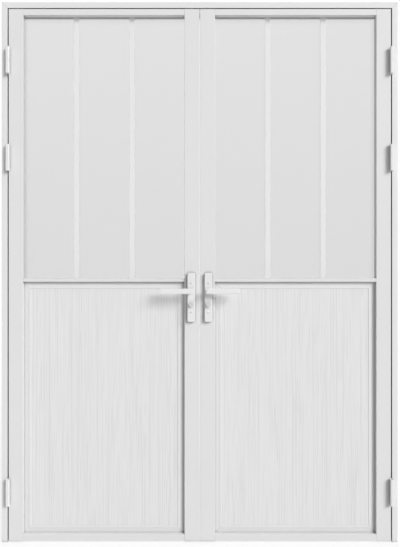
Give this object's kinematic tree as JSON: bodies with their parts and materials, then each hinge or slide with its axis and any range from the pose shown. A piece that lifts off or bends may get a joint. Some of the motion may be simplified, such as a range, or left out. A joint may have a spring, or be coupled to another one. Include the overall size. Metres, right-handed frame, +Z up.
{
  "type": "glazed double door",
  "caption": "Double door of slim hollow profiles in a three-sided frame, with glazed upper parts, panelled lower parts, barrel hinges and lever handles on both leaves.",
  "frame": {"origin": "on the floor line, midway between the jambs and midway through the thickness of the leaves", "axes": "+X to the right across the doorway seen from the front, +Y from the front face to the back, +Z up"},
  "size_m": [1.54, 0.146, 2.1],
  "materials": {
    "coated_aluminium": "satin white powder coat",
    "clear_glass": "clear, polished",
    "spacer_metal": "mill",
    "bar_metal": "satin white coat",
    "panel_board": "white skin embossed with a fine upright wood grain",
    "grey_rubber": "matte",
    "hinge_metal": "satin white coat",
    "pin_steel": "plated",
    "handle_metal": "satin white coat",
    "lock_steel": "satin nickel",
    "guide_plastic": "matte"
  },
  "bodies": {
    "frame": {"jamb_left": "coated_aluminium", "jamb_right": "coated_aluminium", "head": "coated_aluminium", "corner_cleats": "pin_steel", "stop_gasket": "grey_rubber", "bolt_keep": "lock_steel", "hinge_frame_halves_left": "hinge_metal", "hinge_frame_halves_right": "hinge_metal", "hinge_pins": "pin_steel"},
    "left_leaf": {"hinge_stile_left": "coated_aluminium", "lock_stile_left": "coated_aluminium", "top_rail_left": "coated_aluminium", "mid_rail_left": "coated_aluminium", "bottom_rail_left": "coated_aluminium", "front_pane_left": "clear_glass", "back_pane_left": "clear_glass", "pane_spacer_left": "spacer_metal", "glazing_bars_left": "bar_metal", "lower_panel_left": "panel_board", "panel_mouldings_left": "panel_board", "glazing_gaskets_left": "grey_rubber", "back_beads_left": "coated_aluminium", "hinge_leaf_halves_left": "hinge_metal", "front_plate_left": "handle_metal", "back_plate_left": "handle_metal", "plate_screws_left": "pin_steel", "lock_cylinder_left": "lock_steel", "lock_case_left": "lock_steel", "strike_plate": "lock_steel", "bolt_guides": "guide_plastic"},
    "left_handle": {"front_lever_left": "handle_metal", "back_lever_left": "handle_metal", "spindle_left": "lock_steel"},
    "left_key_plug": {"key_plug_left": "lock_steel"},
    "right_leaf": {"hinge_stile_right": "coated_aluminium", "lock_stile_right": "coated_aluminium", "top_rail_right": "coated_aluminium", "mid_rail_right": "coated_aluminium", "bottom_rail_right": "coated_aluminium", "front_pane_right": "clear_glass", "back_pane_right": "clear_glass", "pane_spacer_right": "spacer_metal", "glazing_bars_right": "bar_metal", "lower_panel_right": "panel_board", "panel_mouldings_right": "panel_board", "glazing_gaskets_right": "grey_rubber", "back_beads_right": "coated_aluminium", "hinge_leaf_halves_right": "hinge_metal", "front_plate_right": "handle_metal", "back_plate_right": "handle_metal", "plate_screws_right": "pin_steel", "lock_cylinder_right": "lock_steel", "lock_case_right": "lock_steel"},
    "right_handle": {"front_lever_right": "handle_metal", "back_lever_right": "handle_metal", "spindle_right": "lock_steel"},
    "right_key_plug": {"key_plug_right": "lock_steel"},
    "lock_bolt": {"lock_bolt": "lock_steel"},
    "top_shoot_bolt": {"top_shoot_bolt": "lock_steel"},
    "bottom_shoot_bolt": {"bottom_shoot_bolt": "lock_steel"}
  },
  "joints": [
    {"name": "left_leaf_swing", "type": "hinge", "parent": "frame", "child": "left_leaf", "pos_m": [-0.7432, -0.0385, 1.04], "axis": [0, 0, -1], "range_deg": [0, 170]},
    {"name": "right_leaf_swing", "type": "hinge", "parent": "frame", "child": "right_leaf", "pos_m": [0.7432, -0.0385, 1.04], "axis": [0, 0, 1], "range_deg": [0, 170]},
    {"name": "left_lever_lift", "type": "hinge", "parent": "left_leaf", "child": "left_handle", "pos_m": [-0.0332, 0, 0.977], "axis": [0, 1, 0], "range_deg": [0, 45]},
    {"name": "left_key_turn", "type": "hinge", "parent": "left_leaf", "child": "left_key_plug", "pos_m": [-0.0332, 0, 0.9246], "axis": [0, 1, 0], "range_deg": [0, 90]},
    {"name": "right_lever_lift", "type": "hinge", "parent": "right_leaf", "child": "right_handle", "pos_m": [0.0332, 0, 0.977], "axis": [0, -1, 0], "range_deg": [0, 45]},
    {"name": "right_key_turn", "type": "hinge", "parent": "right_leaf", "child": "right_key_plug", "pos_m": [0.0332, 0, 0.9246], "axis": [0, -1, 0], "range_deg": [0, 90]},
    {"name": "lock_bolt_throw", "type": "slide", "parent": "right_leaf", "child": "lock_bolt", "axis": [-1, 0, 0], "range_m": [0, 0.012]},
    {"name": "top_bolt_throw", "type": "slide", "parent": "left_leaf", "child": "top_shoot_bolt", "axis": [0, 0, 1], "range_m": [0, 0.016]},
    {"name": "bottom_bolt_throw", "type": "slide", "parent": "left_leaf", "child": "bottom_shoot_bolt", "axis": [0, 0, -1], "range_m": [0, 0.016]}
  ],
  "couplings": [
    {"joint": "lock_bolt_throw", "follows": "right_lever_lift", "m_per_rad": 0.015278},
    {"joint": "top_bolt_throw", "follows": "left_lever_lift", "m_per_rad": 0.020371},
    {"joint": "bottom_bolt_throw", "follows": "left_lever_lift", "m_per_rad": 0.020371}
  ]
}
